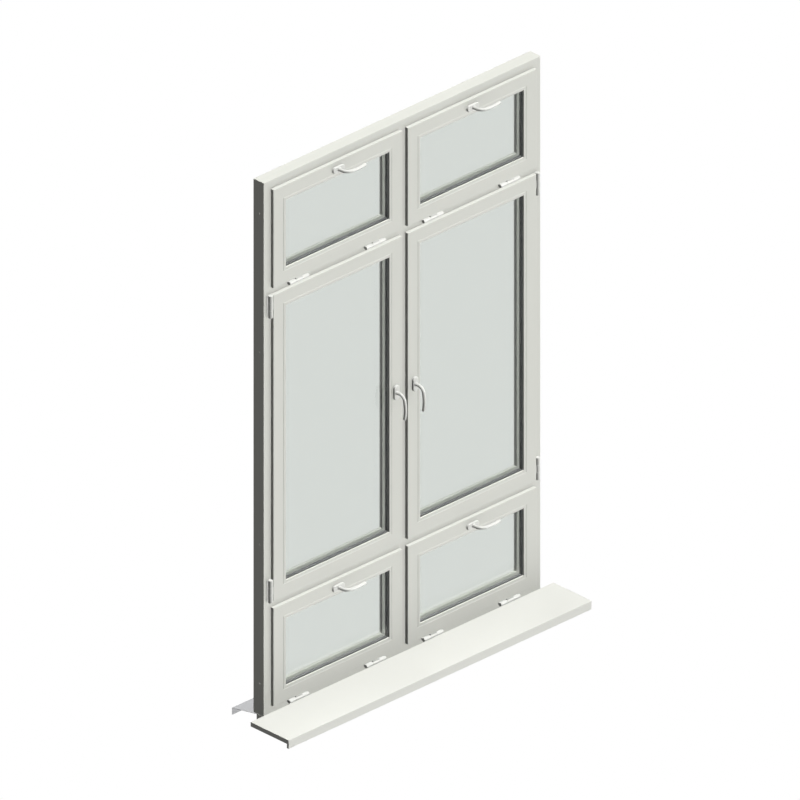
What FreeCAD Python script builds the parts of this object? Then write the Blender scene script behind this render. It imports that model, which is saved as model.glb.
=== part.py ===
import FreeCAD, Part
import os
import re
import Sketcher

# Casement window: an outer frame divided by a mullion and two rows of transoms holds six sashes.
# The two tall middle sashes hang on side hinges and swing inwards. The four small sashes above and
# below them hang on bottom hinges and tilt inwards on stays.
#
# Frame: +Z is up, +Y points out of doors, the origin is the centre of the base profile's underside.
# "Depth" is measured from the frame's indoor face towards the outside, and is negative indoors.
# Parts that repeat along an edge are drawn in an edge frame: X runs along the edge, Z points from
# the outer edge towards the middle of the pane, and Y is the depth.

SIZES = {
    "frame_width": 1600,
    "frame_height": 2500,
    "frame_depth": 60,
    "profile_wall": 3,
    "edge_margin": 40,
    "sash_gap": 33,
    "hopper_height": 460,
    "sash_overlap": 8,
    "rebate_gap": 12,
    "stop_depth": 43,
    "stop_reach": 20,
    "stop_flat": 9,
    "stop_bevel": 4,
    "fixing_radius": 4,
    "fixing_depth": 22,
    "fixing_end": 150,
    "fixing_middle": 450,
    "base_height": 30,
    "base_depth": 40,
    "sash_proud": 17,
    "flange_gap": 2,
    "sash_back": 40,
    "face_width": 59,
    "bead_width": 14,
    "bead_thick": 6,
    "bead_leg": 3,
    "bead_hook": 9,
    "gasket_thick": 2,
    "gasket_width": 6,
    "pane_thick": 4,
    "pane_gap": 14,
    "glass_play": 5,
    "spacer_width": 12,
    "lip_reach": 14,
    "lip_flat": 12,
    "lip_bevel": 8,
    "edge_round": 2,
    "joint_round": 1.8,
    "seal_squeeze": 0.2,
    "groove_front": 4,
    "groove_width": 12,
    "groove_floor": 9,
    "mitre_reach": 120,
    "spindle_inset": 38,
    "spindle_side": 7,
    "spindle_hole": 5.3,
    "case_long": 100,
    "case_top": 25,
    "case_bottom": 48,
    "case_play": 1,
    "rose_long": 68,
    "rose_wide": 30,
    "rose_thick": 10,
    "rose_round": 3,
    "neck_radius": 6,
    "neck_play": 0.1,
    "lever_radius": 7,
    "lever_lift": 0.5,
    "lever_stem": 15,
    "lever_bend": 30,
    "lever_bow": 200,
    "lever_long": 108,
    "lever_out": 43,
    "lever_round": 4,
    "rod_thick": 3,
    "rod_wide": 10,
    "rod_ends": 180,
    "cam_play": 0.5,
    "cam_radius": 4,
    "cam_high": 7,
    "cam_near": 150,
    "cam_far": 250,
    "cam_end": 500,
    "keep_thick": 2.5,
    "keep_long": 60,
    "side_hinge_radius": 10.5,
    "side_hinge_long": 100,
    "side_hinge_reach": 12,
    "foot_hinge_radius": 8.5,
    "foot_hinge_long": 108,
    "foot_hinge_reach": 15,
    "foot_hinge_inset": 150,
    "axis_stand": 12.5,
    "pin_share": 0.38,
    "pin_play": 0.05,
    "knuckle_gap": 0.5,
    "web_thick": 8,
    "foot_plate": 1.5,
    "stay_long": 200,
    "stay_height": 400,
    "stay_depth": 20,
    "stay_wide": 12,
    "stay_thick": 2.5,
    "stay_lift": 4,
    "stay_pin": 3,
    "stay_stud": 2.5,
    "stay_stud_long": 4,
    "bracket_thick": 2,
    "bracket_long": 40,
    "track_thick": 3,
    "track_wide": 20,
    "track_long": 90,
    "slot_wide": 13,
    "slot_long": 50,
    "slot_drift": 9,
    "drip_reach": 127,
    "drip_fall": 27,
    "drip_lip": 33,
    "drip_sheet": 1.5,
    "drip_gap": 1,
    "drip_upstand": 24,
    "board_depth": 225,
    "board_length": 1750,
    "board_thick": 20.5,
    "board_rise": 4,
    "board_wall": 3,
    "board_cells": 6,
    "nose_high": 40.5,
    "nose_thick": 11,
    "nose_round": 2,
    "cap_thick": 2,
}

# lengths worked out from the driving dimensions
SASH_WIDTH = "((frame_width - 2 * edge_margin - sash_gap) / 2)"
CASEMENT_HEIGHT = "(frame_height - 2 * edge_margin - 2 * sash_gap - 2 * hopper_height)"
REBATE = "(edge_margin + sash_overlap)"
STOP_EDGE = "(edge_margin + sash_overlap + stop_reach)"
STOP_TURN = "(stop_depth + stop_flat)"
BODY_EDGE = "(sash_overlap + rebate_gap)"
GLASS_FRONT = "(bead_thick + gasket_thick - sash_proud)"
GLASS_BACK = "(bead_thick + gasket_thick - sash_proud + 2 * pane_thick + pane_gap)"
LIP_FRONT = "(bead_thick + 2 * gasket_thick - sash_proud + 2 * pane_thick + pane_gap)"
LIP_EDGE = "(face_width + bead_width + lip_reach)"
GLASS_INSET = "(face_width + glass_play)"
GROOVE_BACK = "(groove_front + groove_width)"
GROOVE_MIDDLE = "(groove_front + groove_width / 2)"
MULLION_HALF = "(sash_gap / 2 + sash_overlap)"
COLUMN = "((frame_width - 2 * edge_margin + sash_gap) / 4)"
ROW = "((frame_height - 2 * edge_margin - hopper_height) / 2)"
FRAME_MIDDLE = "(base_height + frame_height / 2)"
FACE = "(0 - base_depth / 2)"

doc = FreeCAD.newDocument("CasementWindow")


def write_sheet():
    """Puts the driving dimensions in a spreadsheet, a name and a value on each row."""
    cells = doc.addObject("Spreadsheet::Sheet", "Sizes")
    for row, (name, size) in enumerate(SIZES.items(), start=1):
        cells.set("A%d" % row, name)
        cells.set("B%d" % row, str(size))
        cells.setAlias("B%d" % row, name)
    doc.recompute()
    return cells


sheet = write_sheet()
ALIAS = re.compile(r"\b(%s)\b" % "|".join(SIZES))


def sized(text):
    """An expression for setExpression, from one written with the sheet's aliases."""
    return ALIAS.sub(r"Sizes.\1", text)


def amount(text):
    """What such an expression comes to now."""
    return float(sheet.evalExpression(sized(text)))


def bind(thing, **sizes):
    """Binds properties of an object to expressions."""
    for name, text in sizes.items():
        thing.setExpression(name, sized(text))


def bind_place(thing, across="0", depth="0", up="0"):
    """Binds the position of an object to expressions and keeps its rotation."""
    for axis, text in zip("xyz", (across, depth, up)):
        thing.setExpression("Placement.Base." + axis, sized(text))


# ---------------------------------------------------------------- sketches


def new_sketch(body, name, role, lift="0"):
    """A sketch on one of the body's origin planes, lifted along that plane's normal."""
    sketch = body.newObject("Sketcher::SketchObject", name)
    plane = next(item for item in body.Origin.OriginFeatures if item.Role == role)
    sketch.AttachmentSupport = [(plane, "")]
    sketch.MapMode = "FlatFace"
    sketch.setExpression("AttachmentOffset.Base.z", sized(lift))
    return sketch


def fix_point(sketch, edge, end, across, up):
    """Holds one end of an edge at a place given by two expressions."""
    for kind, text in (("DistanceX", across), ("DistanceY", up)):
        rule = sketch.addConstraint(Sketcher.Constraint(kind, edge, end, amount(text)))
        sketch.setExpression("Constraints[%d]" % rule, sized(text))


def draw_outline(sketch, corners):
    """Draws a closed outline through corners that are pairs of expressions."""
    first = sketch.GeometryCount
    spots = [FreeCAD.Vector(amount(across), amount(up), 0) for across, up in corners]
    for start, end in zip(spots, spots[1:] + spots[:1]):
        sketch.addGeometry(Part.LineSegment(start, end), False)
    for step in range(len(corners)):
        after = first + (step + 1) % len(corners)
        sketch.addConstraint(Sketcher.Constraint("Coincident", first + step, 2, after, 1))
    for step, (across, up) in enumerate(corners):
        fix_point(sketch, first + step, 1, across, up)


def draw_box(sketch, left, low, right, high):
    """Draws a rectangle between two opposite corners."""
    draw_outline(sketch, [(left, low), (right, low), (right, high), (left, high)])


def draw_circle(sketch, across, up, radius):
    """Draws a circle about a place given by two expressions."""
    middle = FreeCAD.Vector(amount(across), amount(up), 0)
    edge = sketch.addGeometry(Part.Circle(middle, FreeCAD.Vector(0, 0, 1), amount(radius)), False)
    rule = sketch.addConstraint(Sketcher.Constraint("Radius", edge, amount(radius)))
    sketch.setExpression("Constraints[%d]" % rule, sized(radius))
    fix_point(sketch, edge, 3, across, up)


# ---------------------------------------------------------------- features


def new_body(name):
    """An empty body, labelled with its name."""
    body = doc.addObject("PartDesign::Body", name)
    body.Label = name
    return body


def pad(body, name, sketch, length, both_ways=False, reverse=False):
    """Pads a sketch along its normal, or evenly to both sides of it."""
    feature = body.newObject("PartDesign::Pad", name)
    feature.Profile = sketch
    feature.SideType = "Symmetric" if both_ways else "One side"
    feature.Reversed = reverse
    bind(feature, Length=length)
    return feature


def pocket(body, name, sketch, length=None, reverse=False):
    """Cuts a sketch out to a length against its normal, or right through both ways."""
    feature = body.newObject("PartDesign::Pocket", name)
    feature.Profile = sketch
    feature.Reversed = reverse
    if length is None:
        feature.Type = "ThroughAll"
        feature.SideType = "Symmetric"
    else:
        bind(feature, Length=length)
    return feature


def round_picked(body, base, name, radius, wanted):
    """Rounds the edges of a feature that a test picks out."""
    doc.recompute()
    picks = [number for number, edge in enumerate(base.Shape.Edges, start=1) if wanted(edge)]
    feature = body.newObject("PartDesign::Fillet", name)
    feature.Base = (base, ["Edge%d" % number for number in picks])
    bind(feature, Radius=radius)
    return feature


def round_edges(body, base, name, radius, depth, up):
    """Rounds the long edge whose middle lies at the given depth and height."""
    spot_y, spot_z = amount(depth), amount(up)

    def wanted(edge):
        middle = edge.CenterOfMass
        return abs(middle.y - spot_y) < 0.01 and abs(middle.z - spot_z) < 0.01

    return round_picked(body, base, name, radius, wanted)


def profile_bar(name, length, outline, cells=(), rounded=()):
    """A straight extrusion along X of an outline given as depth and height, with hollow cells.

    Each entry of rounded is the radius, depth and height of a long edge to round.
    """
    body = new_body(name)
    section = new_sketch(body, name + "_section", "YZ_Plane")
    draw_outline(section, outline)
    for cell in cells:
        draw_box(section, *cell)
    shape = pad(body, name + "_bar", section, length, both_ways=True)
    for radius, depth, up in rounded:
        shape = round_edges(body, shape, name + "_ease", radius, depth, up)
    return body


def mitre(body, length):
    """Cuts both ends of an edge-frame bar at 45 degrees, from its outer edge inwards."""
    cut = new_sketch(body, body.Name + "_mitre_lines", "XZ_Plane")
    for sign in ("-", ""):
        end = "%s(%s / 2)" % (sign, length)
        inner = "%s(%s / 2 - mitre_reach)" % (sign, length)
        draw_outline(cut, [(end, "0"), (inner, "mitre_reach"), (end, "mitre_reach")])
    pocket(body, body.Name + "_mitres", cut)


def mitred_bar(name, length, outline, cells=(), rounded=()):
    """One mitred side of a welded or clipped ring, in the edge frame."""
    body = profile_bar(name, length, outline, cells, rounded)
    mitre(body, length)
    return body


def box(name, length, depth, height, across="0", front="0", low="0"):
    """A block centred across, from its front depth and its lowest height."""
    block = doc.addObject("Part::Box", name)
    bind(block, Length=length, Width=depth, Height=height)
    bind_place(block, "%s - (%s) / 2" % (across, length), front, low)
    return block


def round_bar(name, radius, length, axis, across="0", depth="0", up="0"):
    """A cylinder from a start point along one axis."""
    turns = {
        "X": FreeCAD.Rotation(FreeCAD.Vector(0, 1, 0), 90),
        "Y": FreeCAD.Rotation(FreeCAD.Vector(1, 0, 0), -90),
        "Z": FreeCAD.Rotation(),
    }
    bar = doc.addObject("Part::Cylinder", name)
    bind(bar, Radius=radius, Height=length)
    bar.Placement.Rotation = turns[axis]
    bind_place(bar, across, depth, up)
    return bar


def fuse(name, pieces):
    """One solid from pieces that touch or overlap."""
    union = doc.addObject("Part::MultiFuse", name)
    union.Shapes = pieces
    return union


def cut(name, base, tool):
    """The base with the tool's space taken out of it."""
    rest = doc.addObject("Part::Cut", name)
    rest.Base = base
    rest.Tool = tool
    return rest


# ---------------------------------------------------------------- placing

NODES = []


def turned(degrees):
    """A turn about Y, the line from indoors to outdoors."""
    return FreeCAD.Rotation(FreeCAD.Vector(0, 1, 0), degrees)


EDGE_TURN = {"bottom": turned(0), "top": turned(180), "left": turned(90), "right": turned(-90)}


def copy_at(piece, turn=turned(0), across="0", up="0", depth="0"):
    """A link to a piece, turned and moved."""
    link = doc.addObject("App::Link", piece.Name + "_copy")
    link.LinkedObject = piece
    link.Placement.Rotation = turn
    bind_place(link, across, depth, up)
    return link


def on_edge(piece, edge, size, middle=("0", "0"), along="0"):
    """An edge-frame piece on one edge of a rectangle with this width and height."""
    width, height = size
    across, up = middle
    places = {
        "bottom": (across + " + " + along, "%s - %s / 2" % (up, height)),
        "top": (across + " - " + along, "%s + %s / 2" % (up, height)),
        "left": ("%s - %s / 2" % (across, width), up + " - " + along),
        "right": ("%s + %s / 2" % (across, width), up + " + " + along),
    }
    return copy_at(piece, EDGE_TURN[edge], *places[edge])


def ring(rail, stile, size, middle=("0", "0"), special=None):
    """Four mitred sides: rails below and above, stiles left and right, or a special one."""
    bars = {"bottom": rail, "top": rail, "left": stile, "right": stile}
    bars.update(special or {})
    return [on_edge(bar, edge, size, middle) for edge, bar in bars.items()]


def node(label, pieces, across="0", up="0"):
    """A named sub-part of the window: separate solids that share one placement."""
    group = doc.addObject("Part::Compound", label)
    group.Label = label
    group.Links = pieces
    bind_place(group, across, FACE, up)
    NODES.append(group)
    return group


# ---------------------------------------------------------------- layout


class Sash:
    """One of the six openings: where it is, how big it is and which edge locks."""

    def __init__(self, name, column, row):
        self.name = name
        self.across = "%d * %s" % (column, COLUMN)
        self.up = "%d * %s" % (row, ROW)
        self.tall = row == 0
        self.height = CASEMENT_HEIGHT if self.tall else "hopper_height"
        self.size = (SASH_WIDTH, self.height)
        self.lock = "top"
        if self.tall:
            self.lock = "right" if column < 0 else "left"
        self.hung = {"top": "bottom", "right": "left", "left": "right"}[self.lock]

    def node(self, label, pieces):
        """A node of this sash, placed at the middle of its opening."""
        return node(self.name + "_" + label, pieces, self.across, FRAME_MIDDLE + " + " + self.up)

    def on_frame(self, piece, edge, along="0"):
        """A piece of the frame's hardware at one edge of this opening."""
        return on_edge(piece, edge, self.size, (self.across, self.up), along)


SASHES = [
    Sash("upper_left", -1, 1),
    Sash("upper_right", 1, 1),
    Sash("middle_left", -1, 0),
    Sash("middle_right", 1, 0),
    Sash("lower_left", -1, -1),
    Sash("lower_right", 1, -1),
]
CAM_PLACES = {True: ("cam_far", "cam_end"), False: ("cam_near",)}


def both_ways(places):
    """The same distances to both sides of the middle."""
    return [sign + place for sign in ("-", "") for place in places]


def three_bars(name, outline, cells=(), rounded=()):
    """The mitred bars that every sash ring is put together from: rail, short and tall stile."""
    lengths = {"rail": SASH_WIDTH, "short": "hopper_height", "tall": CASEMENT_HEIGHT}
    return {
        key: mitred_bar(name + "_" + key, length, outline, cells, rounded)
        for key, length in lengths.items()
    }


def sash_ring(bars, sash, middle=("0", "0"), special=None):
    """A ring of such bars round one sash."""
    stile = bars["tall"] if sash.tall else bars["short"]
    return ring(bars["rail"], stile, sash.size, middle, special)


# ---------------------------------------------------------------- outer frame


def frame_outline():
    """Section of the outer frame: a rebate for the sash and a stop behind it."""
    return [
        ("0", "0"),
        ("0", REBATE),
        ("stop_depth", REBATE),
        ("stop_depth", STOP_EDGE),
        (STOP_TURN, STOP_EDGE),
        ("frame_depth", STOP_EDGE + " - stop_bevel"),
        ("frame_depth", "0"),
    ]


def frame_cells():
    """The two chambers of that section."""
    wall = "profile_wall"
    front = (wall, wall, "stop_depth - 2 * profile_wall", REBATE + " - profile_wall")
    high = STOP_EDGE + " - stop_bevel - profile_wall"
    back = ("stop_depth - profile_wall", wall, "frame_depth - profile_wall", REBATE + " - profile_wall")
    lip = ("stop_depth + profile_wall", REBATE, "frame_depth - profile_wall", high)
    return [front, back, lip]


def build_outer_frame():
    """Head and sill with two jambs, each jamb bored for four frame fixings."""
    rounded = [("edge_round", "0", "0")]
    rail = mitred_bar("frame_rail", "frame_width", frame_outline(), frame_cells(), rounded)
    jamb = mitred_bar("frame_jamb", "frame_height", frame_outline(), frame_cells(), rounded)
    holes = new_sketch(jamb, "fixing_centres", "XY_Plane")
    for spot in both_ways(("(frame_height / 2 - fixing_end)", "fixing_middle")):
        draw_circle(holes, spot, "fixing_depth", "fixing_radius")
    pocket(jamb, "fixing_holes", holes)
    node("outer_frame", ring(rail, jamb, ("frame_width", "frame_height")), up=FRAME_MIDDLE)


def build_bar(name, length):
    """A dividing bar, rebated on both sides, its stops coped to the bars that it meets."""
    half = MULLION_HALF
    wide = "(%s + stop_reach)" % half
    slope = "(%s - stop_bevel)" % wide
    right = [
        ("0", half),
        ("stop_depth", half),
        ("stop_depth", wide),
        (STOP_TURN, wide),
        ("frame_depth", slope),
    ]
    left = [(depth, "-" + across) for depth, across in reversed(right)]
    inner = "(%s - profile_wall)" % half
    outer = "(%s - profile_wall)" % slope
    front = ("profile_wall", "-" + inner, "stop_depth - profile_wall", inner)
    back = ("stop_depth + profile_wall", "-" + outer, "frame_depth - profile_wall", outer)
    body = profile_bar(name, length, right + left, [front, back])
    cope = new_sketch(body, name + "_cope_lines", "XY_Plane")
    end = "(%s / 2)" % length
    inside = "(%s / 2 - stop_reach)" % length
    draw_box(cope, inside, "stop_depth", end, "frame_depth")
    draw_box(cope, "-" + end, "stop_depth", "-" + inside, "frame_depth")
    pocket(body, name + "_cope", cope)
    return body


def build_dividers():
    """The full-height mullion, and the four transoms between it and the jambs."""
    mullion = build_bar("mullion_bar", "(frame_height - 2 * %s)" % REBATE)
    node("mullion", [copy_at(mullion, turned(90))], up=FRAME_MIDDLE)
    transom = build_bar("transom_bar", "(%s - 2 * sash_overlap)" % SASH_WIDTH)
    level = "(%s - hopper_height / 2 - sash_gap / 2)" % ROW
    places = [(side + COLUMN, row + level) for side in ("-", "") for row in ("-", "")]
    node("transoms", [copy_at(transom, turned(0), *place) for place in places], up=FRAME_MIDDLE)


def build_frame_seals():
    """A weather seal on the stop, all round each opening."""
    front = "sash_back + seal_squeeze"
    low = BODY_EDGE + " + gasket_thick"
    high = low + " + gasket_width"
    corners = [(front, low), (front, high), ("stop_depth", high), ("stop_depth", low)]
    bars = three_bars("stop_seal", corners)
    strips = []
    for sash in SASHES:
        strips += sash_ring(bars, sash, (sash.across, sash.up))
    node("frame_seals", strips, up=FRAME_MIDDLE)


# ---------------------------------------------------------------- sills and board


def build_base_profile():
    """The hollow sill adapter that the frame stands on, flush with its indoor face."""
    rib = "(base_depth / 2 - profile_wall / 2)"
    top = "base_height - profile_wall"
    outline = [("0", "0"), ("base_depth", "0"), ("base_depth", "base_height"), ("0", "base_height")]
    cells = [
        ("profile_wall", "profile_wall", rib, top),
        (rib + " + profile_wall", "profile_wall", "base_depth - profile_wall", top),
    ]
    node("base_profile", [profile_bar("base_bar", "frame_width", outline, cells)])


def build_drip_sill():
    """A folded sheet fixed behind the base: upstand, slope and a lip turned down at its edge."""
    edge = "(frame_depth + drip_reach)"
    top = "(base_height - drip_gap)"
    low = "(%s - drip_fall)" % top
    inner_top = top + " - drip_sheet"
    inner_low = low + " - drip_sheet"
    foot = top + " - drip_upstand"
    outline = [
        ("base_depth", foot),
        ("base_depth", top),
        (edge, low),
        (edge, low + " - drip_lip"),
        (edge + " - drip_sheet", low + " - drip_lip"),
        (edge + " - drip_sheet", inner_low),
        ("base_depth + drip_sheet", inner_top),
        ("base_depth + drip_sheet", foot),
    ]
    node("drip_sill", [profile_bar("drip_sheet_metal", "frame_width", outline)])


def board_outline():
    """Section of the indoor window board, with its nose turned down at the front."""
    top = "(base_height + board_rise)"
    front = "-board_depth"
    return [
        ("0", top),
        (front, top),
        (front, top + " - nose_high"),
        (front + " + nose_thick", top + " - nose_high"),
        (front + " + nose_thick", top + " - board_thick"),
        ("0", top + " - board_thick"),
    ]


def build_window_board():
    """A hollow board with ribs between its two skins and a flat cap on each end."""
    top = "(base_height + board_rise)"
    front = "(nose_thick - board_depth)"
    step = "((board_depth - nose_thick) / board_cells)"
    cells = []
    for number in range(int(amount("board_cells"))):
        start = "%s + %d * %s" % (front, number, step)
        low = top + " - board_thick + board_wall"
        end = "%s + %s - board_wall" % (start, step)
        cells.append((start, low, end, top + " - board_wall"))
    rounded = [
        ("nose_round", "-board_depth", top),
        ("nose_round", "-board_depth", top + " - nose_high"),
        ("nose_round", "nose_thick - board_depth", top + " - nose_high"),
    ]
    long_bar = "(board_length - 2 * cap_thick)"
    board = profile_bar("board_bar", long_bar, board_outline(), cells, rounded)
    cap = profile_bar("board_cap", "cap_thick", board_outline(), (), rounded)
    place = "(board_length / 2 - cap_thick / 2)"
    caps = [copy_at(cap, turned(0), sign + place) for sign in ("-", "")]
    node("window_board", [board] + caps)


# ---------------------------------------------------------------- sashes


def sash_outline():
    """Section of a sash: flange over the frame, hardware groove, glazing rebate and lip."""
    front = "-sash_proud"
    floor = BODY_EDGE + " + groove_floor"
    return [
        (front, "0"),
        (front, "face_width"),
        (LIP_FRONT, "face_width"),
        (LIP_FRONT, LIP_EDGE),
        (LIP_FRONT + " + lip_flat", LIP_EDGE),
        ("sash_back", LIP_EDGE + " - lip_bevel"),
        ("sash_back", BODY_EDGE),
        (GROOVE_BACK, BODY_EDGE),
        (GROOVE_BACK, floor),
        ("groove_front", floor),
        ("groove_front", BODY_EDGE),
        ("-flange_gap", BODY_EDGE),
        ("-flange_gap", "0"),
    ]


def sash_cells():
    """Its chambers: in the flange, behind the face and in the lip."""
    front = "profile_wall - sash_proud"
    floor = BODY_EDGE + " + groove_floor"
    flange = (front, "profile_wall", "-flange_gap - profile_wall", floor)
    face = (front, floor + " + profile_wall", GROOVE_BACK, "face_width - profile_wall")
    low = BODY_EDGE + " + profile_wall"
    high = LIP_EDGE + " - lip_bevel - profile_wall"
    lip = (GROOVE_BACK + " + profile_wall", low, "sash_back - profile_wall", high)
    return [flange, face, lip]


def bore_for_handle(bar):
    """The spindle's hole through the face, and the slot that takes the gear case."""
    hole = new_sketch(bar, bar.Name + "_spindle_centre", "XZ_Plane", "sash_proud")
    draw_circle(hole, "0", "spindle_inset", "spindle_hole")
    pocket(bar, bar.Name + "_spindle_hole", hole, "profile_wall + case_play")
    slot = new_sketch(bar, bar.Name + "_case_lines", "XY_Plane", BODY_EDGE + " + groove_floor")
    half = "(case_long / 2 + case_play)"
    draw_box(slot, "-" + half, "groove_front", half, GROOVE_BACK)
    pocket(bar, bar.Name + "_case_slot", slot, "profile_wall + case_play", reverse=True)
    return bar


def build_sash_frames():
    """Six welded rings; the side that carries the handle is bored for it."""
    rounded = [("edge_round", "-sash_proud", "0"), ("joint_round", "-sash_proud", "face_width")]
    section = (sash_outline(), sash_cells(), rounded)
    bars = three_bars("sash", *section)
    lock_rail = bore_for_handle(mitred_bar("sash_lock_rail", SASH_WIDTH, *section))
    lock_stile = bore_for_handle(mitred_bar("sash_lock_stile", CASEMENT_HEIGHT, *section))
    for sash in SASHES:
        lock = {sash.lock: lock_stile if sash.tall else lock_rail}
        sash.node("sash_frame", sash_ring(bars, sash, special=lock))


def build_glazing_beads():
    """Four snap-in beads a sash, each with a leg that clips into the glazing rebate."""
    front = "-sash_proud"
    back = "(bead_thick - sash_proud)"
    leg = "face_width + bead_leg"
    arris = "face_width + bead_width"
    corners = [
        (front, "face_width"),
        (front, arris),
        (back, arris),
        (back, leg),
        (back + " + bead_hook", leg),
        (back + " + bead_hook", "face_width"),
    ]
    rounded = [("joint_round", front, "face_width"), ("joint_round", front, arris)]
    bars = three_bars("bead", corners, (), rounded)
    for sash in SASHES:
        sash.node("glazing_beads", sash_ring(bars, sash))


def build_glass_units():
    """Two panes and a spacer bar between them, all round."""
    corners = [
        (GLASS_FRONT + " + pane_thick", GLASS_INSET),
        (GLASS_FRONT + " + pane_thick", GLASS_INSET + " + spacer_width"),
        (GLASS_BACK + " - pane_thick", GLASS_INSET + " + spacer_width"),
        (GLASS_BACK + " - pane_thick", GLASS_INSET),
    ]
    bars = three_bars("spacer", corners)
    panes = {}
    for tall, height in ((True, CASEMENT_HEIGHT), (False, "hopper_height")):
        width = "(%s - 2 * %s)" % (SASH_WIDTH, GLASS_INSET)
        long_side = "(%s - 2 * %s)" % (height, GLASS_INSET)
        panes[tall] = [
            box("pane", width, "pane_thick", long_side, "0", front, "-%s / 2" % long_side)
            for front in (GLASS_FRONT, GLASS_BACK + " - pane_thick")
        ]
    for sash in SASHES:
        sash.node("glass_unit", panes[sash.tall] + sash_ring(bars, sash))


def build_gaskets():
    """Glazing gaskets in front of and behind the glass, and the seal under the flange."""
    width = "gasket_width"
    edge = GLASS_INSET + " + gasket_thick"
    layers = {
        "bead_gasket": ("bead_thick - sash_proud", GLASS_FRONT, edge),
        "lip_gasket": (GLASS_BACK, LIP_FRONT, edge),
        "flange_seal": ("-flange_gap", "-seal_squeeze", "gasket_thick"),
    }
    bars = {}
    for name, (front, back, low) in layers.items():
        high = low + " + " + width
        bars[name] = three_bars(name, [(front, low), (front, high), (back, high), (back, low)])
    for sash in SASHES:
        strips = [strip for name in layers for strip in sash_ring(bars[name], sash)]
        sash.node("gaskets", strips)


# ---------------------------------------------------------------- handles and locks

# the handle is drawn about its spindle, with the lever hanging down
HANDLE_FRONT = "(sash_proud + rose_thick + lever_lift)"


def build_handle_base():
    """The rosette: a round-ended plate with a bore for the lever's neck."""
    body = new_body("rosette")
    outline = new_sketch(body, "rosette_outline", "XZ_Plane", "sash_proud")
    side = "(rose_wide / 2)"
    straight = "(rose_long / 2 - rose_wide / 2)"
    draw_box(outline, "-" + side, "-" + straight, side, straight)
    plate = pad(body, "rosette_plate", outline, "rose_thick")
    for sign in ("-", ""):
        end = new_sketch(body, "rosette_end", "XZ_Plane", "sash_proud")
        draw_circle(end, "0", sign + straight, side)
        plate = pad(body, "rosette_round", end, "rose_thick")
    front = -amount("sash_proud + rose_thick")

    def wanted(edge):
        return all(abs(corner.Point.y - front) < 0.01 for corner in edge.Vertexes)

    round_picked(body, plate, "rosette_ease", "rose_round", wanted)
    bore = new_sketch(body, "rosette_bore_centre", "XZ_Plane")
    draw_circle(bore, "0", "0", "neck_radius + neck_play")
    pocket(body, "rosette_bore", bore)
    return body


def lever_path(body):
    """The lever's centre line: straight out of the rosette, a tight bend, then a long bow."""
    path = new_sketch(body, "lever_path", "YZ_Plane")
    start = "-" + HANDLE_FRONT
    stem_end = "(%s - lever_stem)" % start
    tip = ("(%s - lever_out)" % start, "-lever_long")
    front, reach, bend = amount(start), amount(stem_end), amount("lever_bend")
    corner = FreeCAD.Vector(reach, 0, 0)
    swing = FreeCAD.Vector(reach - 0.7 * bend, -0.3 * bend, 0)
    turn = FreeCAD.Vector(reach - bend, -0.8 * bend, 0)
    bow = FreeCAD.Vector(reach - 1.1 * bend, -0.6 * amount("lever_long"), 0)
    end = FreeCAD.Vector(amount(tip[0]), amount(tip[1]), 0)
    path.addGeometry(Part.LineSegment(FreeCAD.Vector(front, 0, 0), corner), False)
    path.addGeometry(Part.Arc(corner, swing, turn), False)
    path.addGeometry(Part.Arc(turn, bow, end), False)
    path.addConstraint(Sketcher.Constraint("Tangent", 0, 2, 1, 1))
    path.addConstraint(Sketcher.Constraint("Tangent", 1, 2, 2, 1))
    for edge, radius in ((1, "lever_bend"), (2, "lever_bow")):
        rule = path.addConstraint(Sketcher.Constraint("Radius", edge, amount(radius)))
        path.setExpression("Constraints[%d]" % rule, sized(radius))
    fix_point(path, 0, 1, start, "0")
    fix_point(path, 0, 2, stem_end, "0")
    fix_point(path, 2, 2, *tip)
    return path


def build_handle_lever():
    """The lever with its neck and its square spindle, in one piece."""
    body = new_body("lever")
    path = lever_path(body)
    grip = new_sketch(body, "lever_grip", "XZ_Plane", HANDLE_FRONT)
    draw_circle(grip, "0", "0", "lever_radius")
    sweep = body.newObject("PartDesign::AdditivePipe", "lever_sweep")
    sweep.Profile = grip
    sweep.Spine = (path, [])
    low = -amount("lever_long") + amount("lever_radius")

    def wanted(edge):
        return all(corner.Point.z < low for corner in edge.Vertexes) and edge.Length < 50

    round_picked(body, sweep, "lever_ease", "lever_round", wanted)
    neck = new_sketch(body, "lever_neck_line", "XZ_Plane", HANDLE_FRONT)
    draw_circle(neck, "0", "0", "neck_radius")
    pad(body, "lever_neck", neck, "rose_thick + lever_lift", reverse=True)
    square = new_sketch(body, "spindle_line", "XZ_Plane", "sash_proud")
    half = "(spindle_side / 2)"
    draw_box(square, "-" + half, "-" + half, half, half)
    pad(body, "spindle", square, "sash_proud + %s - case_play" % GROOVE_BACK, reverse=True)
    return body


def build_handles():
    """A rosette and a lever on the lock side of each sash, the lever lying along that side."""
    rosette = build_handle_base()
    lever = build_handle_lever()
    for sash in SASHES:
        side = "(%s / 2 - spindle_inset)" % SASH_WIDTH
        place = {
            "top": ("0", "%s / 2 - spindle_inset" % sash.height),
            "right": (side, "0"),
            "left": ("-" + side, "0"),
        }[sash.lock]
        turn = turned(0) if sash.tall else turned(-90)
        sash.node("handle_base", [copy_at(rosette, turn, *place)])
        sash.node("handle_lever", [copy_at(lever, turn, *place)])


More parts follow.
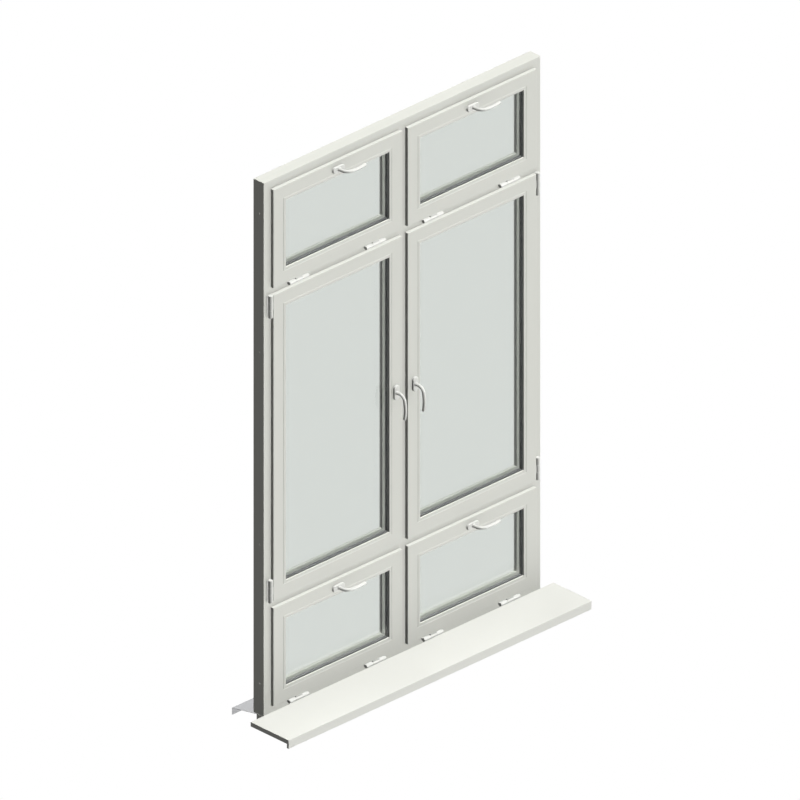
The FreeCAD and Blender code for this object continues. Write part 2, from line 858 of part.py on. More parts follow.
def build_drive_rods():
    """A flat rod in the hardware groove of the lock side, with a cam at each locking point."""
    low = BODY_EDGE + " + cam_play"
    for tall, length in ((True, CASEMENT_HEIGHT), (False, SASH_WIDTH)):
        name = "tall_rod" if tall else "short_rod"
        rod_long = "(%s - rod_ends)" % length
        front = GROOVE_MIDDLE + " - rod_wide / 2"
        pieces = [box(name + "_strip", rod_long, "rod_wide", "rod_thick", "0", front, low)]
        for spot in both_ways(CAM_PLACES[tall]):
            start = low + " - cam_high"
            cam = round_bar(name + "_cam", "cam_radius", "cam_high", "Z", spot, GROOVE_MIDDLE, start)
            pieces.append(cam)
        rod = fuse(name, pieces)
        for sash in SASHES:
            if sash.tall == tall:
                sash.node("drive_rod", [on_edge(rod, sash.lock, sash.size)])


def build_gear_case():
    """The box behind the handle that turns the spindle's motion into the rod's."""
    front = "groove_front + case_play"
    depth = "groove_width - 2 * case_play"
    case = box("case_block", "case_long", depth, "case_bottom - case_top", "0", front, "case_top")
    hole = round_bar("case_hole", "spindle_hole", "sash_back", "Y", "0", "0", "spindle_inset")
    return cut("gear_case", case, hole)


# ---------------------------------------------------------------- hinges and stays


def build_hinge(name, radius, length, reach):
    """Both halves of a barrel hinge, in the edge frame, with its axis outside the sash's edge.

    The frame half is two knuckles with the pin, joined by a plate. The sash half is the middle
    knuckle with a web to the sash's edge.
    """
    axis = ("-axis_stand", "-" + reach)
    third = "(%s / 3)" % length
    knuckle = "(%s - knuckle_gap)" % third
    pin = "(pin_share * %s)" % radius
    half = "(%s / 2)" % length
    shared = dict(depth=axis[0], up=axis[1])
    frame_half = [round_bar(name + "_pin", pin, length, "X", "-" + half, **shared)]
    plate_low = "-%s - %s" % (reach, radius)
    plate = box(name + "_plate", length, "foot_plate", "2 * " + radius, "0", "-foot_plate", plate_low)
    frame_half.append(plate)
    for sign, start in (("-", "-" + half), ("", half + " - " + knuckle)):
        frame_half.append(round_bar(name + "_knuckle", radius, knuckle, "X", start, **shared))
        middle = "%s(%s - %s / 2)" % (sign, half, knuckle)
        low = "-%s - web_thick / 2" % reach
        web = box(name + "_web", knuckle, "axis_stand", "web_thick", middle, "-axis_stand", low)
        frame_half.append(web)
    start = "-%s / 2" % knuckle
    barrel = round_bar(name + "_middle", radius, knuckle, "X", start, **shared)
    front = "-axis_stand - web_thick / 2"
    wing = box(name + "_wing", knuckle, "web_thick", reach, "0", front, "-" + reach)
    bore = round_bar(name + "_bore", pin + " + pin_play", length, "X", "-" + half, **shared)
    sash_half = cut(name + "_sash_half", fuse(name + "_leaf", [barrel, wing]), bore)
    return fuse(name + "_frame_half", frame_half), sash_half


def build_keep():
    """A striker plate screwed to the frame opposite a cam."""
    high = "(sash_overlap + keep_thick)"
    low = "sash_overlap"
    corners = [("groove_front", low), ("groove_front", high), (GROOVE_BACK, high), (GROOVE_BACK, low)]
    return profile_bar("keep", "keep_long", corners)


# the stays stand on the side edges of a hopper, so their heights run along the edge frame's X
STAY_PIVOT = "(stay_height - foot_hinge_reach - hopper_height / 2)"
STAY_STUD = "(%s - stay_long)" % STAY_PIVOT
STAY_FOOT = "(sash_overlap + stay_lift)"
STAY_TURN = {"left": turned(90), "right": FreeCAD.Rotation(FreeCAD.Vector(1, 0, -1), 180)}


def build_stay_bracket():
    """A plate screwed to the rebate with the pin that a stay arm turns on."""
    front = "stay_depth - stay_wide / 2"
    plate = box("bracket_plate", "bracket_long", "stay_wide", "bracket_thick", "0", front, "sash_overlap")
    pin_long = "(stay_lift + stay_thick)"
    pin = round_bar("bracket_pin", "stay_pin", pin_long, "Z", "0", "stay_depth", "sash_overlap")
    return fuse("stay_bracket", [plate, pin])


def build_stay_arm():
    """A flat arm with an eye for the pivot pin and a stud that runs in the sash's track.

    It is drawn along X from its pivot at the origin towards the stud.
    """
    body = new_body("stay_arm")
    shapes = (
        ("strip", lambda sketch: draw_box(sketch, "0", "-stay_wide / 2", "stay_long", "stay_wide / 2")),
        ("eye", lambda sketch: draw_circle(sketch, "0", "0", "stay_wide / 2")),
        ("end", lambda sketch: draw_circle(sketch, "stay_long", "0", "stay_wide / 2")),
    )
    for name, draw in shapes:
        sketch = new_sketch(body, "stay_" + name + "_line", "XY_Plane")
        draw(sketch)
        pad(body, "stay_" + name, sketch, "stay_thick")
    stud = new_sketch(body, "stay_stud_centre", "XY_Plane")
    draw_circle(stud, "stay_long", "0", "stay_stud")
    pad(body, "stay_stud", stud, "stay_thick + stay_stud_long")
    bore = new_sketch(body, "stay_bore_centre", "XY_Plane")
    draw_circle(bore, "0", "0", "stay_pin + pin_play")
    pocket(body, "stay_bore", bore)
    return body


def build_stay_track():
    """A plate on the sash's side edge with a slot for the arm's stud."""
    front = "stay_depth - track_wide / 2"
    low = BODY_EDGE + " - track_thick"
    plate = box("track_plate", "track_long", "track_wide", "track_thick", "0", front, low)
    slot_front = "stay_depth - slot_wide / 2"
    slot = box("track_slot", "slot_long", "slot_wide", "track_thick", "0", slot_front, low)
    return cut("stay_track", plate, slot)


def build_stays():
    """Two stay arms for each hopper, hanging in the gaps beside it when it is shut."""
    arm = build_stay_arm()
    side = "(%s / 2 - %s)" % (SASH_WIDTH, STAY_FOOT)
    for sash in SASHES:
        if not sash.tall:
            arms = [
                copy_at(arm, STAY_TURN["left"], "-" + side, STAY_PIVOT, "stay_depth"),
                copy_at(arm, STAY_TURN["right"], side, STAY_PIVOT, "stay_depth"),
            ]
            sash.node("stay_arms", arms)


def build_hardware():
    """Hinges, keeps, gear cases, stay brackets and stay tracks, for the frame and each sash."""
    side_hinge = build_hinge("side_hinge", "side_hinge_radius", "side_hinge_long", "side_hinge_reach")
    foot_hinge = build_hinge("foot_hinge", "foot_hinge_radius", "foot_hinge_long", "foot_hinge_reach")
    keep, case = build_keep(), build_gear_case()
    bracket, track = build_stay_bracket(), build_stay_track()
    on_frame = []
    for sash in SASHES:
        frame_half, sash_half = side_hinge if sash.tall else foot_hinge
        corner = "(%s / 2 - side_hinge_long / 2)" % CASEMENT_HEIGHT
        if not sash.tall:
            corner = "(%s / 2 - foot_hinge_inset)" % SASH_WIDTH
        fitted = [on_edge(case, sash.lock, sash.size)]
        for spot in both_ways((corner,)):
            on_frame.append(sash.on_frame(frame_half, sash.hung, spot))
            fitted.append(on_edge(sash_half, sash.hung, sash.size, along=spot))
        for spot in both_ways(CAM_PLACES[sash.tall]):
            on_frame.append(sash.on_frame(keep, sash.lock, spot))
        if not sash.tall:
            for edge, sign in (("left", "-"), ("right", "")):
                on_frame.append(sash.on_frame(bracket, edge, sign + STAY_PIVOT))
                spot = "%s(%s + slot_drift)" % (sign, STAY_STUD)
                fitted.append(on_edge(track, edge, sash.size, along=spot))
        sash.node("sash_hardware", fitted)
    node("frame_hardware", on_frame, up=FRAME_MIDDLE)


# ---------------------------------------------------------------- build, check, write


def check_model():
    """Stops if any object failed, or if a sub-part's shape is missing or faulty."""
    for thing in doc.Objects:
        if {"Invalid", "Error"} & set(thing.State):
            raise RuntimeError("%s failed: %s" % (thing.Label, thing.State))
    for group in NODES:
        shape = group.Shape
        if shape.isNull() or not shape.isValid() or not shape.Solids:
            raise RuntimeError("%s has no sound shape" % group.Label)


build_outer_frame()
build_dividers()
build_frame_seals()
build_base_profile()
build_drip_sill()
build_window_board()
build_sash_frames()
build_glazing_beads()
build_glass_units()
build_gaskets()
build_handles()
build_drive_rods()
build_stays()
build_hardware()
doc.recompute()
check_model()
os.makedirs("parts", exist_ok=True)
for group in NODES:
    group.Shape.exportStep("parts/%s.step" % group.Label)
print("sub-parts:", len(NODES), "solids:", sum(len(group.Shape.Solids) for group in NODES))
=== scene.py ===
import math

import bmesh
import bpy
from mathutils import Matrix, Vector


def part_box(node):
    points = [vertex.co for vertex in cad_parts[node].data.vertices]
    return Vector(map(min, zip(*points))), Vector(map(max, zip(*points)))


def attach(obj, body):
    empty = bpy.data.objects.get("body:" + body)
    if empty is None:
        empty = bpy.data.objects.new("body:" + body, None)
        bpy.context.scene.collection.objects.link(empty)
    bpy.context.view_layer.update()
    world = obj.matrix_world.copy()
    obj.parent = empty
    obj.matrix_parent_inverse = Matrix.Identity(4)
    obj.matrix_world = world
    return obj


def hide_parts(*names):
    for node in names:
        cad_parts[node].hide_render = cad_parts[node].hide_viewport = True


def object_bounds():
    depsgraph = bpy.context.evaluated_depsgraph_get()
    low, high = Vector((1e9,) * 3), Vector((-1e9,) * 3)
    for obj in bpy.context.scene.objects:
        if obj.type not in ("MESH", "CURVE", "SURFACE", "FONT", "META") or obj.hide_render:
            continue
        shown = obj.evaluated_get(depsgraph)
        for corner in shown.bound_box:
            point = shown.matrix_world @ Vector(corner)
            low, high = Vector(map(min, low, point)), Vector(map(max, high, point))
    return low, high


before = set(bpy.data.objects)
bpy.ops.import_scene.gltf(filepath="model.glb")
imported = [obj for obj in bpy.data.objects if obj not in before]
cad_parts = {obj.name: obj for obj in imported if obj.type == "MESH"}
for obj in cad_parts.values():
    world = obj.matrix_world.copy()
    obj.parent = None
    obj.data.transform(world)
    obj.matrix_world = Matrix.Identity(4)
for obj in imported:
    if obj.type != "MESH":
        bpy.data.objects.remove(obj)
cad_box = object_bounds()

# ---------------------------------------------------------------- outer frame, mullion, transoms
# The fixed part of the window: white rigid plastic extrusions, cut to length and welded into one
# frame. The extruded skin is smooth with a very fine orange peel, and a little uneven in its gloss.

WHITE = (0.80, 0.808, 0.745)
DARKEST, LIGHTEST = 0.985, 1.01
CLOUD_SCALE = 5.0
PEEL_HEIGHT = 0.0005


def add_node(tree, kind, **inputs):
    """A shader node with some of its inputs set, given by name."""
    made = tree.nodes.new(kind)
    for name, value in inputs.items():
        made.inputs[name.replace("_", " ")].default_value = value
    return made


def plastic(name, colour, gloss=(0.34, 0.46), grain=0.02, grain_size=700.0):
    """A moulded or extruded plastic: faint clouds in its colour, uneven gloss, fine orange peel."""
    material = bpy.data.materials.new(name)
    material.use_nodes = True
    tree = material.node_tree
    shader = tree.nodes["Principled BSDF"]
    place = tree.nodes.new("ShaderNodeTexCoord")
    clouds = add_node(tree, "ShaderNodeTexNoise", Scale=CLOUD_SCALE, Detail=3.0)
    tree.links.new(place.outputs["Object"], clouds.inputs["Vector"])
    shade = tree.nodes.new("ShaderNodeMix")
    shade.data_type = "RGBA"
    shade.inputs["A"].default_value = (*[part * DARKEST for part in colour], 1.0)
    shade.inputs["B"].default_value = (*[min(1.0, part * LIGHTEST) for part in colour], 1.0)
    tree.links.new(clouds.outputs["Fac"], shade.inputs["Factor"])
    tree.links.new(shade.outputs["Result"], shader.inputs["Base Color"])
    sheen_map = add_node(tree, "ShaderNodeMapRange", To_Min=gloss[0], To_Max=gloss[1])
    tree.links.new(clouds.outputs["Fac"], sheen_map.inputs["Value"])
    tree.links.new(sheen_map.outputs["Result"], shader.inputs["Roughness"])
    peel = add_node(tree, "ShaderNodeTexNoise", Scale=grain_size, Detail=2.0)
    tree.links.new(place.outputs["Object"], peel.inputs["Vector"])
    bump = add_node(tree, "ShaderNodeBump", Strength=grain, Distance=PEEL_HEIGHT)
    tree.links.new(peel.outputs["Fac"], bump.inputs["Height"])
    tree.links.new(bump.outputs["Normal"], shader.inputs["Normal"])
    return material


def paint(name, material):
    """Gives one of the model's own nodes a finish."""
    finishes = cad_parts[name].data.materials
    finishes.clear()
    finishes.append(material)


frame_plastic = plastic("frame_plastic", WHITE)
for part in ("outer_frame", "mullion", "transoms", "base_profile"):
    paint(part, frame_plastic)

# ---------------------------------------------------------------- sashes and beads
# Each sash is four extrusions mitred and welded at the corners. Its glazing beads are thinner
# extrusions, clipped in round the glass after it is set, and a touch duller than the sash.

SASHES = ("upper_left", "upper_right", "middle_left", "middle_right", "lower_left", "lower_right")
CASEMENTS = ("middle_left", "middle_right")
sash_plastic = plastic("sash_plastic", WHITE)
bead_plastic = plastic("bead_plastic", (0.785, 0.79, 0.73), gloss=(0.4, 0.5))
for sash in SASHES:
    paint(sash + "_sash_frame", sash_plastic)
    paint(sash + "_glazing_beads", bead_plastic)

# ---------------------------------------------------------------- seals
# Extruded rubber strips, black and matt: a stop seal all round each opening, a seal under each
# sash's flange, and the gaskets that hold the glass front and back.

seal_rubber = plastic("seal_rubber", (0.05, 0.05, 0.05), gloss=(0.55, 0.7), grain=0.08)
paint("frame_seals", seal_rubber)
for sash in SASHES:
    paint(sash + "_gaskets", seal_rubber)

# ---------------------------------------------------------------- glass units
# Two panes of float glass with ground edges, held apart by a dark spacer bar all round. The bar has
# shoulders where the sealant sits, and the panes have the faint green of plain glass.

PANE = 0.004
GROUND_EDGE = 0.0006
SPACER_DEEP = 0.012
SPACER_SHOULDER = 0.0015
SPACER_EDGE = 0.0004
SHARP = math.radians(35)
glass = bpy.data.materials.new("pane_glass")
glass.use_nodes = True
glass_shader = glass.node_tree.nodes["Principled BSDF"]
glass_shader.inputs["Base Color"].default_value = (0.834, 0.855, 0.837, 1.0)
glass_shader.inputs["Roughness"].default_value = 0.0
glass_shader.inputs["IOR"].default_value = 1.5
glass_shader.inputs["Transmission Weight"].default_value = 1.0
spacer_metal = plastic("spacer_bar", (0.085, 0.09, 0.09), gloss=(0.45, 0.6), grain=0.05)


def add_piece(name, bm, material, body, ease=0.0):
    """Turns a finished bmesh into a piece that rides on a body, with its sharp edges eased."""
    bmesh.ops.recalc_face_normals(bm, faces=bm.faces)
    mesh = bpy.data.meshes.new(name)
    bm.to_mesh(mesh)
    bm.free()
    mesh.shade_smooth()
    if not ease:
        mesh.set_sharp_from_angle(angle=SHARP)
    mesh.materials.append(material)
    piece = bpy.data.objects.new(name, mesh)
    bpy.context.scene.collection.objects.link(piece)
    if ease:
        bevel = piece.modifiers.new("eased_edges", "BEVEL")
        bevel.width = ease
        bevel.segments = 2
        bevel.limit_method = "ANGLE"
        bevel.angle_limit = SHARP
        bevel.harden_normals = True
    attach(piece, body)
    return piece


def block(bm, low, high):
    """Adds a rectangular block between two corners."""
    low, high = Vector(low), Vector(high)
    made = bmesh.ops.create_cube(bm, size=1.0)["verts"]
    bmesh.ops.scale(bm, vec=high - low, verts=made)
    bmesh.ops.translate(bm, vec=(low + high) / 2, verts=made)


def ring(bm, low, high, section):
    """Carries a section round a rectangle, mitred at its corners. Each point of the section is a
    distance in from the rectangle's edge and a place along Y."""
    middle = Matrix.Translation(-(low + high) / 2)
    corner = [bm.verts.new((high.x - inset, depth, high.z - inset)) for inset, depth in section]
    edges = [bm.edges.new(pair) for pair in zip(corner, corner[1:] + corner[:1])]
    made = list(corner)
    for flip in ((-1, 1, 1), (1, 1, -1), (-1, 1, 1), (1, 1, -1)):
        grown = bmesh.ops.extrude_edge_only(bm, edges=edges)["geom"]
        verts = [item for item in grown if isinstance(item, bmesh.types.BMVert)]
        edges = [
            item for item in grown if isinstance(item, bmesh.types.BMEdge) and item.is_boundary
        ]
        bmesh.ops.scale(bm, vec=flip, space=middle, verts=verts)
        made += verts
    bmesh.ops.remove_doubles(bm, verts=made, dist=1e-5)


for sash in SASHES:
    low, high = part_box(sash + "_glass_unit")
    for name, front in (("indoor_pane", low.y), ("outdoor_pane", high.y - PANE)):
        bm = bmesh.new()
        block(bm, (low.x, front, low.z), (high.x, front + PANE, high.z))
        pane = add_piece(sash + "_" + name, bm, glass, sash + "_sash", ease=GROUND_EDGE)
        pane.visible_shadow = False
    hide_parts(sash + "_glass_unit")
    front, back = low.y + PANE, high.y - PANE
    section = [
        (0.0, front + SPACER_SHOULDER),
        (SPACER_SHOULDER, front),
        (SPACER_DEEP, front),
        (SPACER_DEEP, back),
        (SPACER_SHOULDER, back),
        (0.0, back - SPACER_SHOULDER),
    ]
    bm = bmesh.new()
    ring(bm, low, high, section)
    add_piece(sash + "_spacer_bar", bm, spacer_metal, sash + "_sash", ease=SPACER_EDGE)

# ---------------------------------------------------------------- hinges, keeps and stays
# Barrel hinges: steel knuckles on a steel pin, powder coated white. What sits inside the rebates,
# such as the keeps, the stays and the gear cases, is plain zinc plated steel.

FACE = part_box("outer_frame")[0].y
BEHIND_FACE = 0.0005
ZINC = (0.56, 0.57, 0.58)


def coated_metal(name):
    """White powder coat indoors of the frame's face, and zinc plate on the steel behind it."""
    material = plastic(name, (0.86, 0.868, 0.82), gloss=(0.3, 0.4), grain=0.05, grain_size=1200.0)
    tree = material.node_tree
    shader = tree.nodes["Principled BSDF"]
    coat = shader.inputs["Base Color"].links[0].from_socket
    place = tree.nodes.new("ShaderNodeTexCoord")
    split = tree.nodes.new("ShaderNodeSeparateXYZ")
    tree.links.new(place.outputs["Object"], split.inputs["Vector"])
    inside = tree.nodes.new("ShaderNodeMath")
    inside.operation = "GREATER_THAN"
    inside.inputs[1].default_value = FACE + BEHIND_FACE
    tree.links.new(split.outputs["Y"], inside.inputs[0])
    choose = tree.nodes.new("ShaderNodeMix")
    choose.data_type = "RGBA"
    choose.inputs["B"].default_value = (*ZINC, 1.0)
    tree.links.new(inside.outputs["Value"], choose.inputs["Factor"])
    tree.links.new(coat, choose.inputs["A"])
    tree.links.new(choose.outputs["Result"], shader.inputs["Base Color"])
    tree.links.new(inside.outputs["Value"], shader.inputs["Metallic"])
    return material


hardware_finish = coated_metal("hinge_coat_and_zinc")
zinc = plastic("zinc_plate", ZINC, gloss=(0.28, 0.5), grain=0.04)
zinc.node_tree.nodes["Principled BSDF"].inputs["Metallic"].default_value = 1.0
paint("frame_hardware", hardware_finish)
for sash in SASHES:
    paint(sash + "_sash_hardware", hardware_finish)
    paint(sash + "_drive_rod", zinc)
    if sash not in CASEMENTS:
        paint(sash + "_stay_arms", zinc)

# A moulded cap closes each end of a hinge. The end knuckles belong to the frame, as do the caps.

AXIS_STAND = 0.0125
SIDE_HINGE_RADIUS = 0.0103
SIDE_HINGE_LONG = 0.100
SIDE_HINGE_OUT = 0.012
SIDE_HINGE_FROM_END = 0.050
LOW_HINGE_RADIUS = 0.0083
LOW_HINGE_LONG = 0.108
LOW_HINGE_BELOW = 0.015
LOW_HINGE_FROM_END = 0.150
CAP_HIGH = 0.0022
CAP_ROUND = 0.0014
ROUND_STEPS = 48
UPRIGHT = Matrix.Identity(4)
ALONG_X = Matrix.Rotation(math.radians(90), 4, "Y")
cap_plastic = plastic("hinge_cap_plastic", (0.84, 0.848, 0.8), gloss=(0.3, 0.4), grain=0.01)


def edges_between(bm, verts):
    """The edges that have both their ends among some vertices."""
    chosen = set(verts)
    return [edge for edge in bm.edges if chosen.issuperset(edge.verts)]


def round_over(bm, edges, radius, steps=4):
    """Rounds some edges over."""
    bmesh.ops.bevel(
        bm, geom=edges, offset=radius, segments=steps, profile=0.5, affect="EDGES", material=-1
    )


def hinge_caps(bm, middle, radius, long, turned):
    """A domed disc on each end of one hinge."""
    for end in (-1, 1):
        made = bmesh.ops.create_cone(
            bm, cap_ends=True, segments=ROUND_STEPS, radius1=radius, radius2=radius, depth=CAP_HIGH
        )["verts"]
        outside = [vert for vert in made if end * vert.co.z > 0]
        bmesh.ops.translate(bm, vec=(0, 0, end * (long + CAP_HIGH) / 2), verts=made)
        bmesh.ops.transform(bm, matrix=Matrix.Translation(middle) @ turned, verts=made)
        round_over(bm, edges_between(bm, outside), CAP_ROUND)


for sash in SASHES:
    low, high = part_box(sash + "_sash_frame")
    stand = FACE - AXIS_STAND
    bm = bmesh.new()
    if sash in CASEMENTS:
        across = low.x - SIDE_HINGE_OUT if "left" in sash else high.x + SIDE_HINGE_OUT
        for up in (low.z + SIDE_HINGE_FROM_END, high.z - SIDE_HINGE_FROM_END):
            middle = Vector((across, stand, up))
            hinge_caps(bm, middle, SIDE_HINGE_RADIUS, SIDE_HINGE_LONG, UPRIGHT)
    else:
        for across in (low.x + LOW_HINGE_FROM_END, high.x - LOW_HINGE_FROM_END):
            middle = Vector((across, stand, low.z - LOW_HINGE_BELOW))
            hinge_caps(bm, middle, LOW_HINGE_RADIUS, LOW_HINGE_LONG, ALONG_X)
    add_piece(sash + "_hinge_caps", bm, cap_plastic, "frame")

# ---------------------------------------------------------------- fixing plugs
# White plastic pins that close the four fixing holes through each jamb. They are pushed in until
# they sit just below the surface, and come out when the window is screwed to its wall.

PLUG_RADIUS = 0.0039
PLUG_BELOW_SURFACE = 0.0003
PLUG_EDGE = 0.0006
PLUG_STEPS = 32
PLUGS_ABOVE_MIDDLE = (-1.1, -0.45, 0.45, 1.1)
JAMB_THICK = 0.048
HOLE_FROM_FACE = 0.022
low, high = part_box("outer_frame")
middle = (low + high) / 2
bm = bmesh.new()
for across in (low.x + JAMB_THICK / 2, high.x - JAMB_THICK / 2):
    for above in PLUGS_ABOVE_MIDDLE:
        plug = bmesh.ops.create_cone(
            bm, cap_ends=True, segments=PLUG_STEPS, radius1=PLUG_RADIUS, radius2=PLUG_RADIUS,
            depth=JAMB_THICK - 2 * PLUG_BELOW_SURFACE, matrix=ALONG_X,
        )["verts"]
        place = (across, low.y + HOLE_FROM_FACE, middle.z + above)
        bmesh.ops.translate(bm, vec=place, verts=plug)
add_piece("fixing_plugs", bm, frame_plastic, "frame", ease=PLUG_EDGE)

# ---------------------------------------------------------------- base profile ends
# The hollow profile under the frame is sawn off square, and a thin plastic plate is glued over each
# end, flush all round.

END_PLATE = 0.001
GLUED_IN = 0.0001
END_PLATE_EDGE = 0.0003
low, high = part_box("base_profile")
bm = bmesh.new()
block(bm, (low.x - END_PLATE, low.y, low.z), (low.x + GLUED_IN, high.y, high.z))
block(bm, (high.x - GLUED_IN, low.y, low.z), (high.x + END_PLATE, high.y, high.z))
add_piece("base_end_plates", bm, frame_plastic, "frame", ease=END_PLATE_EDGE)

# ---------------------------------------------------------------- handles
# A die cast rosette with rounded ends, on a base plate screwed to the sash. Its lever is a round
# bar, bent in a tight bend and then a long bow, with a collar where it turns in the rosette. All
# are coated in smooth satin white. Each is shaped hanging from its spindle, then put in place.

ROSETTE_LONG = 0.068
ROSETTE_WIDE = 0.030
ROSETTE_DEEP = 0.010
ROSETTE_ROUND = 0.003
PLATE_DEEP = 0.0014
PLATE_INSET = 0.0008
GRIP_RADIUS = 0.007
GRIP_STEPS = 32
GRIP_END_ROUND = 0.0022
STEM_LONG = 0.0155
STEM_SUNK = 0.0005
BEND_RADIUS = 0.030
BEND_TURN = math.radians(78.9)
BOW_RADIUS = 0.200
BOW_TURN = math.radians(24.2)
STEPS_PER_RADIAN = 14
FEWEST_STEPS = 8
COLLAR_FOOT = 0.0098
COLLAR_TOP = 0.0086
COLLAR_LONG = 0.0035
COLLAR_ROUND = 0.001
COLLAR_GAP = 0.00025
TOWARDS_ROOM = Matrix.Rotation(math.radians(90), 4, "X")
handle_coat = plastic("handle_coat", (0.87, 0.877, 0.83), gloss=(0.26, 0.34), grain=0.01)


def round_ended_plate(bm, width, length, thick, stand):
    """An upright plate with round ends, standing off the sash, and the edges round its front."""
    half_step = Matrix.Rotation(math.pi / ROUND_STEPS, 4, "Z")
    made = bmesh.ops.create_circle(
        bm, cap_ends=True, segments=ROUND_STEPS, radius=width / 2, matrix=TOWARDS_ROOM @ half_step
    )["verts"]
    for vert in made:
        vert.co.z += math.copysign((length - width) / 2, vert.co.z)
        vert.co.y = -stand
    back = list(made[0].link_faces)
    grown = bmesh.ops.extrude_face_region(bm, geom=back, use_keep_orig=True)["geom"]
    front = [item for item in grown if isinstance(item, bmesh.types.BMVert)]
    bmesh.ops.translate(bm, vec=(0, -thick, 0), verts=front)
    return [item for item in grown if isinstance(item, bmesh.types.BMEdge)]


def rosette():
    """The base plate and, standing a little proud of it all round, the cover."""
    bm = bmesh.new()
    plate_wide = ROSETTE_WIDE - 2 * PLATE_INSET
    plate_long = ROSETTE_LONG - 2 * PLATE_INSET
    round_ended_plate(bm, plate_wide, plate_long, PLATE_DEEP, 0.0)
    cover_deep = ROSETTE_DEEP - PLATE_DEEP
    front = round_ended_plate(bm, ROSETTE_WIDE, ROSETTE_LONG, cover_deep, PLATE_DEEP)
    round_over(bm, front, ROSETTE_ROUND, steps=5)
    return bm


def carry_on(bm, edges, turn, radius, place, heading):
    """Bends the bar onwards from its open end, and gives its new open end."""
    sideways = Matrix.Rotation(heading, 3, "X") @ Vector((0, 0, -1))
    rim = list(dict.fromkeys(vert for edge in edges for vert in edge.verts))
    grown = bmesh.ops.spin(
        bm, geom=rim + edges, cent=place + sideways * radius, axis=(1, 0, 0), angle=turn,
        steps=max(FEWEST_STEPS, round(turn * STEPS_PER_RADIAN)), use_merge=False,
    )["geom_last"]
    return [item for item in grown if isinstance(item, bmesh.types.BMEdge)]


def add_collar(bm):
    """The tapered collar round the stem, just clear of the rosette."""
    collar = bmesh.ops.create_cone(
        bm, cap_ends=True, segments=ROUND_STEPS, radius1=COLLAR_FOOT, radius2=COLLAR_TOP,
        depth=COLLAR_LONG, matrix=TOWARDS_ROOM,
    )["verts"]
    top = [vert for vert in collar if vert.co.y < 0]
    stand = ROSETTE_DEEP + COLLAR_GAP + COLLAR_LONG / 2
    bmesh.ops.translate(bm, vec=(0, -stand, 0), verts=collar)
    round_over(bm, edges_between(bm, top), COLLAR_ROUND)


def lever():
    """The bar from its neck to its cut end, whose rim is eased, and the collar."""
    bm = bmesh.new()
    made = bmesh.ops.create_circle(
        bm, cap_ends=True, segments=GRIP_STEPS, radius=GRIP_RADIUS, matrix=TOWARDS_ROOM
    )["verts"]
    bmesh.ops.translate(bm, vec=(0, STEM_SUNK - ROSETTE_DEEP, 0), verts=made)
    grown = bmesh.ops.extrude_edge_only(bm, edges=bm.edges[:])["geom"]
    rim = [item for item in grown if isinstance(item, bmesh.types.BMVert)]
    bmesh.ops.translate(bm, vec=(0, -STEM_LONG - STEM_SUNK, 0), verts=rim)
    end = [item for item in grown if isinstance(item, bmesh.types.BMEdge) and item.is_boundary]
    stem_end = Vector((0, -ROSETTE_DEEP - STEM_LONG, 0))
    end = carry_on(bm, end, BEND_TURN, BEND_RADIUS, stem_end, 0.0)
    turned = Matrix.Rotation(BEND_TURN, 3, "X")
    centre = stem_end + Vector((0, 0, -BEND_RADIUS))
    bend_end = centre + turned @ Vector((0, 0, BEND_RADIUS))
    end = carry_on(bm, end, BOW_TURN, BOW_RADIUS, bend_end, BEND_TURN)
    bmesh.ops.edgeloop_fill(bm, edges=end)
    round_over(bm, end, GRIP_END_ROUND)
    add_collar(bm)
    return bm


HANDLE_PIECES = (
    (rosette, "_rosette", "_sash", "_handle_base"),
    (lever, "_lever_bar", "_lever", "_handle_lever"),
)
for sash in SASHES:
    low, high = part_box(sash + "_handle_base")
    spindle = Vector(((low.x + high.x) / 2, high.y, (low.z + high.z) / 2))
    lying = 0 if sash in CASEMENTS else math.radians(-90)
    place = Matrix.Translation(spindle) @ Matrix.Rotation(lying, 4, "Y")
    for make, name, body, stood_for in HANDLE_PIECES:
        bm = make()
        bmesh.ops.transform(bm, matrix=place, verts=bm.verts)
        piece = add_piece(sash + name, bm, handle_coat, sash + body)
        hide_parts(sash + stood_for)

# ---------------------------------------------------------------- window board and drip sill
# Indoors, a hollow plastic board with a rounded nose and a cap on each end, faced with a satin
# film. Outdoors, one folded sheet of aluminium with a pale grey coat.

board_film = plastic("board_film", (0.81, 0.815, 0.76), gloss=(0.42, 0.55), grain=0.03)
sheet_coat = plastic("sheet_coat", (0.525, 0.53, 0.54), gloss=(0.4, 0.5), grain=0.03)
paint("window_board", board_film)
paint("drip_sill", sheet_coat)

# ---------------------------------------------------------------- studio
# A pale floor in a wide pale studio. Broad lights from the front, from overhead and from behind
# throw no shadow, and a weaker one from below stands for light that the floor sends back up.

FLOOR_RADIUS = 14.0
FLOOR_BELOW = 0.001
STUDIO_RADIUS = 40.0
AIR_GLOW = 0.1
backdrop_white = bpy.data.materials.new("backdrop_white")
backdrop_white.use_nodes = True
tree = backdrop_white.node_tree
tree.nodes.clear()
glow = add_node(tree, "ShaderNodeEmission", Color=(1.0, 1.0, 1.0, 1.0), Strength=1.0)
end = tree.nodes.new("ShaderNodeOutputMaterial")
tree.links.new(glow.outputs["Emission"], end.inputs["Surface"])


def backdrop(name, bm):
    """A piece of the studio that is seen but throws no light or shadow on the window."""
    mesh = bpy.data.meshes.new(name)
    bm.to_mesh(mesh)
    bm.free()
    mesh.materials.append(backdrop_white)
    piece = bpy.data.objects.new(name, mesh)
    bpy.context.scene.collection.objects.link(piece)
    piece.visible_diffuse = False
    piece.visible_glossy = False
    piece.visible_shadow = False


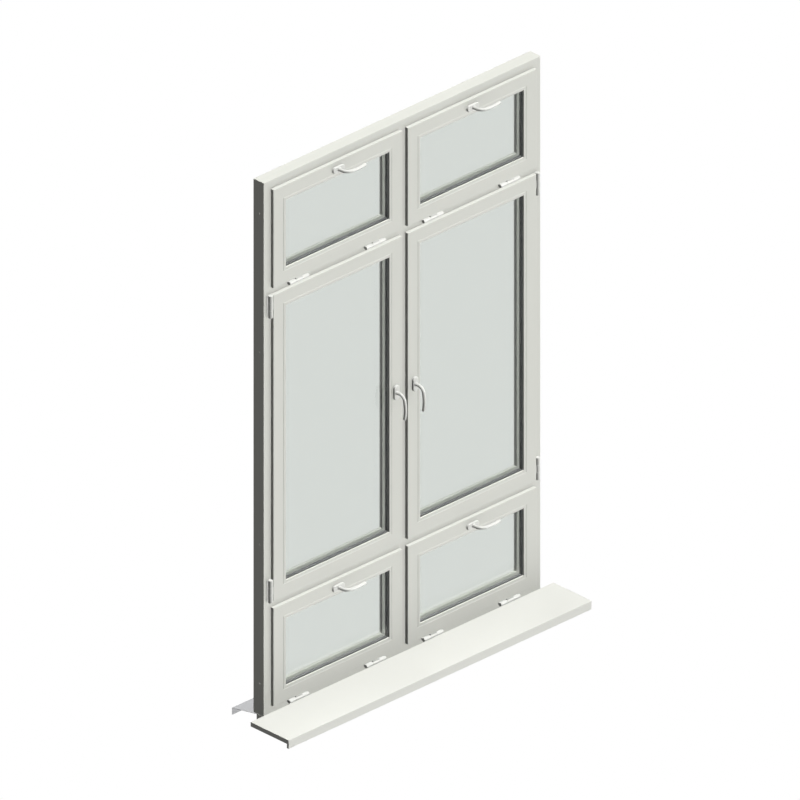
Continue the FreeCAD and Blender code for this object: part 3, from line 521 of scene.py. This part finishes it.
bm = bmesh.new()
bmesh.ops.create_circle(bm, cap_ends=True, segments=64, radius=FLOOR_RADIUS)
bmesh.ops.translate(bm, vec=(0, 0, cad_box[0].z - FLOOR_BELOW), verts=bm.verts)
backdrop("floor", bm)
bm = bmesh.new()
bmesh.ops.create_uvsphere(bm, u_segments=48, v_segments=24, radius=STUDIO_RADIUS)
backdrop("studio_walls", bm)


def sun(name, elevation, turn, strength, width, shadow=False):
    """A broad light from one direction, all angles in degrees. Turn 0 is straight in front of the
    indoor side. As a rule it throws no shadow, as a whole wall of lamps throws next to none."""
    lamp = bpy.data.lights.new(name, "SUN")
    lamp.energy = strength
    lamp.angle = math.radians(width)
    lamp.use_shadow = shadow
    piece = bpy.data.objects.new(name, lamp)
    piece.rotation_euler = (math.radians(90 - elevation), 0, math.radians(turn))
    bpy.context.scene.collection.objects.link(piece)
    return piece


sun("front_light", elevation=10, turn=28, strength=1.95, width=16)
sun("overhead_light", elevation=90, turn=0, strength=2.55, width=12)
sun("rear_light", elevation=12, turn=170, strength=1.7, width=16)
# the window board keeps this one from the lowest sashes, so it throws shadows
floor_glow = sun("floor_glow", elevation=-32, turn=36, strength=0.85, width=50, shadow=True)
floor_glow.visible_glossy = False
world = bpy.data.worlds.new("studio_air")
world.use_nodes = True
world.node_tree.nodes["Background"].inputs["Color"].default_value = (1, 1, 1, 1)
world.node_tree.nodes["Background"].inputs["Strength"].default_value = AIR_GLOW
bpy.context.scene.world = world
bpy.context.scene.view_settings.view_transform = "Standard"
# light that bounces off one surface doesn't light another, so rebates and gaps stay dark
bpy.context.scene.cycles.diffuse_bounces = 0

# ---------------------------------------------------------------- camera
# A parallel view from the left and above, so that upright lines stay upright.

AZIMUTH, ELEVATION = math.radians(-44.36), math.radians(28.13)
AIM = Vector((-0.6921, -0.7157, 1.7407))
AWAY = 9.0
VIEW_WIDE = 3.306
FARTHEST = 100.0
back = Vector((
    math.sin(AZIMUTH) * math.cos(ELEVATION),
    -math.cos(AZIMUTH) * math.cos(ELEVATION),
    math.sin(ELEVATION),
))
lens = bpy.data.cameras.new("camera")
lens.type = "ORTHO"
lens.ortho_scale = VIEW_WIDE
lens.clip_end = FARTHEST
camera = bpy.data.objects.new("camera", lens)
camera.location = AIM + back * AWAY
camera.rotation_euler = back.to_track_quat("Z", "Y").to_euler()
bpy.context.scene.collection.objects.link(camera)
bpy.context.scene.camera = camera
